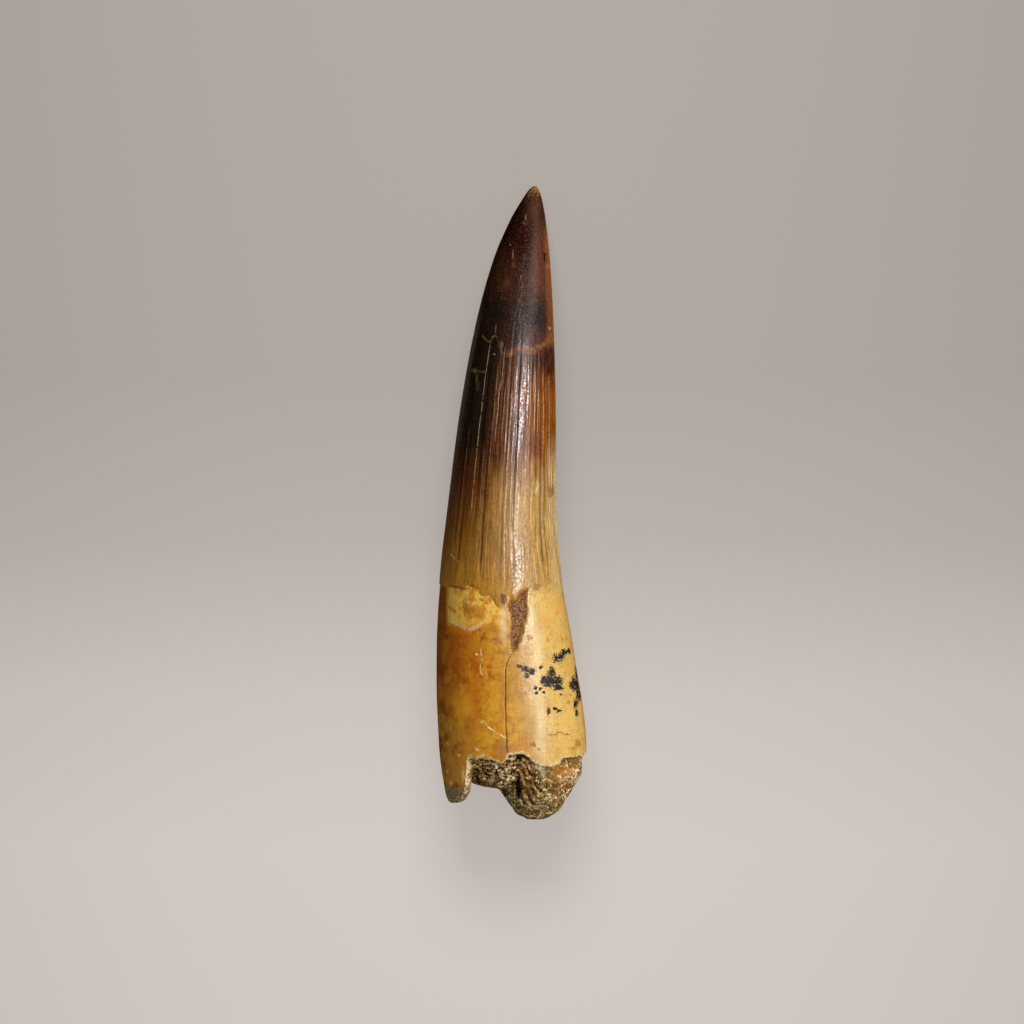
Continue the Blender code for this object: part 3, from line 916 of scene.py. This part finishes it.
# Pale lines along the crown's ridges: angle, lowest and highest point, half the width in
# degrees, and strength.
RIDGE_LINES = (
    (125.0, 48.0, 74.5, 1.0, 0.5), (103.0, 60.0, 68.5, 0.7, 0.6), (101.0, 68.5, 73.8, 0.7, 0.6),
    (107.5, 55.0, 71.0, 0.6, 0.35), (86.5, 36.5, 67.0, 1.2, 0.55), (95.5, 60.0, 68.0, 0.5, 0.45),
    (115.0, 40.0, 58.0, 0.7, 0.22), (141.0, 44.0, 62.0, 0.7, 0.18), (62.0, 56.0, 72.0, 0.7, 0.4),
    (55.0, 50.0, 70.0, 0.8, 0.4), (40.0, 46.0, 67.0, 0.9, 0.4), (27.0, 44.0, 70.0, 1.1, 0.35),
)


def fossil_graph():
    """The tooth's material, with the fields and noises that its parts share."""
    g = Graph("fossil_enamel")
    g.height, g.side, g.front = (g.field(name) for name in ("height", "side", "front"))
    across, up = g.times(g.side, FLOW_RADIUS), g.times(g.front, FLOW_RADIUS)
    flow = g.vector(across, up, g.times(g.height, 0.06))
    g.streak = g.noise(flow, 1.4, 2.0, 0.6)
    g.thread = g.noise(flow, 4.5, 2.0, 0.7)
    g.speck = g.noise(g.place, 3.0, 3.0, 0.75)
    g.cloud = g.noise(g.place, 0.3, 3.0, 0.6)
    g.blotch = g.noise(g.place, 0.9, 4.0, 0.65)
    g.ragged = g.plus(0.0, speck=1.6, blotch=1.3)
    g.above = g.smooth(g.plus(g.front, blotch=0.8), -0.08, 0.16)
    x, y, _ = g.parts(g.warp(g.warp(g.place, 1.1, 0.8), 3.2, 0.35))
    g.flat = g.vector(x, g.math("ADD", y, MID_HEIGHT), 0.0)
    return g


def enamel(g):
    """Zones of colour along the crown, pale edges that are partly painted highlight and sheen, and what
    the flutes and fracture add.
    """
    level = g.plus(g.height, streak=6.0, speck=4.0)
    level = g.math("MINIMUM", level, g.math("ADD", g.height, 2.0))
    zones = (ENAMEL_LEFT, ENAMEL_MIDDLE, ENAMEL_RIGHT)
    left, middle, right = (g.ramp(level, stops, 0, LENGTH) for stops in zones)
    lean = g.plus(g.side, streak=0.5, blotch=0.35)
    colour = g.paint(left, middle, g.smooth(lean, -0.5, -0.08))
    colour = g.paint(colour, right, g.smooth(lean, 0.15, 0.6))
    colour = flutes(g, edges(g, colour), lean)
    fleck = g.times(g.smooth(g.speck, 0.02, 0.16), g.smooth(g.height, 74.0, 82.0))
    colour = g.paint(colour, "8a4a2c", fleck, 0.28)
    band = g.math("ABSOLUTE", g.plus(g.field("above_break"), blotch=1.6))
    healed = g.paint("62341a", "8c5a30", g.smooth(g.speck, -0.1, 0.1))
    return g.paint(colour, healed, g.smooth(band, 0.85, 0.3), g.smooth(g.side, -0.22, -0.1), 0.75)


def edges(g, colour):
    """A painted highlight along the right edge low down, a paler orange-brown right edge near the tip,
    and a painted grey sheen along the left edge.
    """
    edge = g.smooth(g.plus(g.side, thread=0.2), 0.8, 0.95)
    # Painted highlight: a bright rim of light along the right edge, low down on the crown.
    colour = g.paint(colour, "d0b47c", edge, g.smooth(g.height, 62.0, 54.0), 0.55)
    colour = g.paint(colour, "86502c", edge, g.between(g.height, (73.0, 76.0), (95.0, 90.0)), 0.7)
    # Painted reflection: a grey sheen along the left edge that stands for the floor reflected at grazing
    # angles.
    painted_rim_sheen = g.smooth(g.plus(g.side, thread=0.25, speck=0.15), -0.9, -0.985)
    return g.paint(colour, "7a6654", painted_rim_sheen, g.between(g.height, (40.0, 60.0), (84.0, 76.0)), 0.5)


def flutes(g, colour, lean):
    """Valleys darkened with painted shade, pale crests and the long pale lines along some ridges."""
    wave = g.field("wave")
    fluted = g.between(g.height, (36.5, 42.0), (76.0, 68.0))
    # Painted shade: the flutes' valleys are darkened, as shade would fall in them.
    valley = g.smooth(g.plus(wave, thread=1.6), 0.2, -1.0)
    colour = g.paint(colour, "5c300c", fluted, valley, 0.6, blend="MULTIPLY")
    crest = g.smooth(g.plus(g.times(wave, 0.1), thread=1.0), 0.12, 0.3)
    pale = g.mix_number(g.smooth(lean, -0.6, 0.4), 0.02, 0.22)
    colour = g.paint(colour, "d8b880", fluted, crest, pale)
    wobble = g.times(g.noise(g.vector(g.height, 0.0, 0.0), 0.35), 2.4)
    turn = g.plus(g.add(g.field("turn"), wobble), blotch=0.8)
    broken = g.smooth(g.plus(g.speck, blotch=0.8), -0.22, 0.02)
    for angle, low, high, wide, share in RIDGE_LINES:
        off = g.math("ABSOLUTE", g.math("SUBTRACT", turn, angle))
        span = g.between(g.height, (low - 1.5, low + 1.5), (high + 1, high - 1))
        colour = g.paint(colour, "d2b48c", g.smooth(off, wide, wide * 0.3), span, broken, share)
    return colour


def root(g):
    """Amber and golden clouds on the left, cream on the right, and the worn pale patch."""
    colour = g.ramp(g.plus(g.side, cloud=0.9, blotch=0.6), ROOT_COLOURS, -1.0, 1.0)
    drift = g.noise(g.warp(g.place, 0.5, 2.0), 0.42, 3.0, 0.6)
    deep = g.plus(drift, blotch=0.6, speck=0.3)
    reach = g.mix_number(g.smooth(g.height, 15.0, 23.0), 0.35, 0.75)
    colour = g.paint(colour, "944804", g.smooth(deep, 0.0, 0.16), g.smooth(g.side, 0.15, -0.4), reach)
    bright = g.smooth(g.plus(drift, blotch=0.7, speck=0.2), 0.12, -0.2)
    lower = g.mix_number(g.smooth(g.height, 22.0, 14.0), 0.4, 0.75)
    golden = g.paint("cc8008", "dca030", g.smooth(g.side, -0.7, -0.2))
    colour = g.paint(colour, golden, bright, g.smooth(g.side, 0.35, 0.0), lower)
    sandy = g.times(g.smooth(g.height, 21.0, 14.0), g.smooth(g.side, -0.2, -0.5))
    colour = g.paint(colour, "b48222", sandy, g.smooth(deep, 0.25, -0.1), 0.6)
    colour = g.paint(colour, "c88828", g.smooth(deep, 0.06, 0.2), g.smooth(g.side, 0.0, 0.3), 0.45)
    across = g.between(g.parts(g.place)[0], (-10.4, -9.6), (-0.8, -1.6))
    patch = g.times(across, g.smooth(g.plus(g.height, blotch=2.0), 30.2, 31.2), g.above)
    worn = g.paint("e6b850", "cc8e2a", g.smooth(g.blotch, -0.1, 0.12))
    colour = g.paint(colour, worn, patch, 0.8)
    vein = g.smooth(g.math("ABSOLUTE", g.noise(g.place, 0.55, 4.0, 0.6, 0.6)), 0.022, 0.002)
    colour = g.paint(colour, "7a3c0c", vein, g.smooth(g.blotch, -0.02, 0.14), 0.4)
    mottle = g.smooth(g.plus(g.blotch, speck=0.6), 0.06, 0.26)
    return g.paint(colour, "a0641c", mottle, 0.5, blend="MULTIPLY")


def paint_stains_and_highlights(g, colour):
    # Each listed oval is painted over the colour; some are pale strips that are painted highlights.
    for *spot, code, share, edge in STAINS_AND_PAINTED_HIGHLIGHTS:
        off = g.add(g.oval(g.flat, *spot), g.ragged)
        colour = g.paint(colour, code, g.smooth(off, 1.0 + edge / 2, 1.0 - edge), g.above, share)
    return colour


def lines(g, colour):
    """The thin lines' colours, and where they stand proud."""
    x, y, _ = g.parts(g.warp(g.warp(g.place, 1.6, 0.3), 4.5, 0.22))
    height = g.math("ADD", y, MID_HEIGHT)
    gaps = g.smooth(g.add(g.speck, g.blotch), -0.18, 0.06)
    proud = 0.0
    for along_tooth, code, share, width, points in LINES:
        along, across = (height, x) if along_tooth else (x, height)
        line = g.times(g.trace(along, across, points, width), g.above, gaps)
        proud = g.math("ADD", proud, line)
        colour = g.paint(colour, code, line, share)
    return colour, proud


def mineral(g):
    """Where the black mineral spots are."""
    nearest = 9.0
    for spot in BLACK:
        nearest = g.math("MINIMUM", nearest, g.oval(g.flat, *spot))
    fleck = g.times(g.noise(g.place, 4.6, 2.0, 0.6), 2.4)
    black = g.smooth(g.add(nearest, fleck, g.speck), 1.25, 0.95)
    holes = g.smooth(g.noise(g.place, 2.4, 2.0, 0.6), 0.1, 0.16)
    return g.times(black, g.above, g.mix_number(holes, 1.0, 0.2))


def fossil_material():
    """Glossy enamel from near black to honey, and a root from amber to cream."""
    g = fossil_graph()
    gentle = g.smooth(g.side, 0.1, 0.3)
    drift = g.times(g.plus(g.blotch, thread=0.8), g.mix_number(gentle, 0.3, 5.0))
    softness = g.mix_number(gentle, 0.12, 1.3)
    crown = g.smooth(g.add(g.field("crown"), drift), g.times(softness, -1.0), softness)
    surface, proud = lines(g, paint_stains_and_highlights(g, g.paint(root(g), enamel(g), crown)))
    in_chip = g.smooth(g.plus(g.field("chip"), speck=1.2, blotch=1.6), -0.1, 0.2)
    grains = g.paint("4a2a12", "9c6a3c", g.smooth(g.speck, -0.14, 0.16))
    surface = g.paint(surface, grains, in_chip)
    surface = g.paint(surface, "2e180a", g.smooth(g.field("crack"), 0.3, 0.65), 0.9)
    black = mineral(g)
    surface = g.paint(surface, g.paint("151515", "3a3428", g.smooth(g.speck, 0.05, 0.2)), black)
    rim = g.plus(g.field("rim"), speck=1.2, blotch=2.2)
    on_rim = g.smooth(rim, 0.6, 0.2)
    surface = g.paint(surface, g.ramp(g.speck, BONE, -0.5, 0.5), on_rim)
    low = g.smooth(g.plus(g.height, speck=3.0, blotch=3.0), 5.6, 4.6)
    prong_end = g.times(low, g.smooth(g.side, -0.5, -0.6))
    dirty = g.math("MAXIMUM", prong_end, g.smooth(g.plus(rim, blotch=0.6), -1.35, -1.6))
    surface = g.paint(surface, g.ramp(g.speck, GRIT, -0.5, 0.5), dirty)
    pits = g.smooth(g.noise(g.place, 3.6, 4.0, 0.8), 0.0, 0.07)
    grain = g.add(
        g.plus(1.12, blotch=0.25),
        g.times(g.speck, g.mix_number(crown, 1.05, 1.6)),
        g.times(g.thread, g.mix_number(crown, 0.4, 1.7)),
        g.times(pits, g.mix_number(crown, -0.12, -0.3)),
    )
    rough = g.add(
        g.mix_number(g.smooth(g.height, 44.0, 57.0), 0.24, 0.18),
        g.times(pits, g.mix_number(crown, 0.15, 0.22)),
        g.times(in_chip, 0.5),
        g.times(on_rim, 0.4),
        g.times(black, 0.3),
        g.times(prong_end, 0.4),
    )
    raised = g.plus(g.add(g.times(pits, -0.1), g.times(proud, -0.4), g.times(black, 0.3)), thread=0.12)
    return g.finish(g.dim(surface, grain), rough, 0.5, g.bump(raised, 0.1 * MM, 0.6))


def sandstone_material():
    """Packed grains from black-brown to pale sand, with painted shade in the hollow, the pit and on the
    left slope.
    """
    g = Graph("sandstone")
    grains = g.cells(g.place, 2.7)
    g.pick = g.math("SUBTRACT", g.parts(grains["Color"])[0], 0.5)
    g.fine = g.noise(g.place, 3.6, 3.0, 0.75)
    g.cloud = g.noise(g.place, 0.5, 3.0, 0.6)
    front = g.field("front")
    value = g.math("MULTIPLY_ADD", g.field("raised"), 0.25, 0.41)
    colour = g.ramp(g.plus(value, pick=0.7, cloud=0.8, fine=1.7), SAND_GRAINS)
    x, y, _ = g.parts(g.warp(g.place, 0.8, 0.8))
    height = g.math("ADD", y, MID_HEIGHT)
    flat = g.vector(x, height, 0.0)
    above = g.smooth(front, -0.1, 0.1)
    # Stains, and painted shade in the hollow, the pit and on the left slope.
    for *spot, code, share, edge in STONE_STAINS_AND_PAINTED_SHADE:
        off = g.plus(g.oval(flat, *spot), pick=0.9, fine=2.8)
        colour = g.paint(colour, code, g.smooth(off, 1.0 + edge / 2, 1.0 - edge), share, above)
    slant = g.plus(g.add(x, g.times(height, STONE_SLANT)), cloud=3.0)
    torn = g.smooth(g.plus(g.math("SINE", g.times(slant, 5.4)), fine=2.5), 0.15, 0.8)
    where = g.smooth(g.oval(flat, 2.6, 5.6, 2.4, 3.6), 1.2, 0.8)
    colour = g.paint(colour, "140d07", torn, where, g.smooth(front, 0.0, 0.3), 0.8)
    colour = g.dim(colour, g.plus(0.95, pick=0.4, fine=1.8))
    raised = g.plus(g.times(grains["Distance"], -0.6), fine=0.8)
    return g.finish(colour, 0.9, 0.15, g.bump(raised, 0.2 * MM, 0.35))


# Each light's name, two sizes in metres, power in watts, and lean to the right and ahead in
# degrees. The key lights the pieces alone, and the backlight the floor alone.
KEY = ("key", 0.3, 0.3, 2.65, 36, 10)
BACKLIGHT = ("backlight", 0.35, 0.2, 3.6, 0, 48)
GLINTS = (
    ("root_glint", 0.06, 0.16, 0.25, 46, 2),
    ("crown_glint", 0.05, 0.17, 1.45, 31, 14),
    ("tip_glint", 0.14, 0.2, 0.12, 57, 36),
)
LIGHT_DISTANCE = 0.5
SURROUND = 0.36
SURROUND_COLOUR = (0.9, 0.95, 1.0, 1.0)
FLOOR_HALF = 1.5


def make_camera():
    """Looks straight down, with the tip of the tooth towards the picture's top."""
    data = bpy.data.cameras.new("camera")
    data.sensor_width = SENSOR
    data.lens = CAMERA_LENS
    data.clip_start = 0.01
    data.clip_end = 10.0
    camera = bpy.data.objects.new("camera", data)
    away = FIELD * CAMERA_LENS / SENSOR + OBJECT_LEVEL
    camera.location = (VIEW_X * MM, (VIEW_HEIGHT - MID_HEIGHT) * MM, away * MM)
    bpy.context.scene.collection.objects.link(camera)
    bpy.context.scene.camera = camera


def make_light(name, size_x, size_y, power, right, ahead, glints):
    """A rectangle of light that leans to the right and ahead of straight above, in degrees.

    It gives either the highlights or the soft light that shows the colours.
    """
    data = bpy.data.lights.new(name, "AREA")
    data.shape = "RECTANGLE"
    data.size = size_x
    data.size_y = size_y
    data.energy = power
    light = bpy.data.objects.new(name, data)
    light.visible_glossy = glints
    light.visible_diffuse = not glints
    right, ahead = math.radians(right), math.radians(ahead)
    level = math.cos(ahead)
    direction = Vector((math.sin(right) * level, math.sin(ahead), math.cos(right) * level))
    light.location = direction * LIGHT_DISTANCE
    light.rotation_euler = direction.to_track_quat("Z", "Y").to_euler()
    bpy.context.scene.collection.objects.link(light)
    return light


def make_floor():
    data = bpy.data.meshes.new("floor")
    corners = [(-FLOOR_HALF, -FLOOR_HALF, 0), (FLOOR_HALF, -FLOOR_HALF, 0)]
    corners += [(FLOOR_HALF, FLOOR_HALF, 0), (-FLOOR_HALF, FLOOR_HALF, 0)]
    data.from_pydata(corners, [], [(0, 1, 2, 3)])
    data.materials.append(floor_material())
    floor = bpy.data.objects.new("floor", data)
    bpy.context.scene.collection.objects.link(floor)
    floor.visible_glossy = False
    return floor


def make_stage(pieces):
    """A plain pale floor, soft studio lights on the pieces and a dim even surround."""
    scene = bpy.context.scene
    scene.view_settings.view_transform = "Standard"
    world = bpy.data.worlds.new("surround")
    scene.world = world
    world.use_nodes = True
    background = world.node_tree.nodes["Background"]
    background.inputs["Color"].default_value = SURROUND_COLOUR
    background.inputs["Strength"].default_value = SURROUND
    world.cycles_visibility.glossy = False
    floor = make_floor()
    light_only(make_light(*KEY, False), pieces)
    light_only(make_light(*BACKLIGHT, False), [floor])
    for glint in GLINTS:
        make_light(*glint, True)


def light_only(light, receivers):
    """Keeps a light for some objects."""
    chosen = bpy.data.collections.new(light.name + "_receivers")
    for receiver in receivers:
        chosen.objects.link(receiver)
    light.light_linking.receiver_collection = chosen


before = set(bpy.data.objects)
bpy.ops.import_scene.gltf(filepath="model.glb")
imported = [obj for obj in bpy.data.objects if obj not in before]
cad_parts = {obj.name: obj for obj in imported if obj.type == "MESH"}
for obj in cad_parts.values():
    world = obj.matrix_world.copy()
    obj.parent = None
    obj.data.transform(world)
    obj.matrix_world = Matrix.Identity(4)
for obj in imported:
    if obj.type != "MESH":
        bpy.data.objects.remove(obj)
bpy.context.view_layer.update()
tooth = make_tooth(fossil_material())
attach(tooth, "root")
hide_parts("tooth")
stone = make_stone(sandstone_material())
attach(stone, "root")
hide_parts("matrix_plug")
make_camera()
make_stage([tooth, stone])
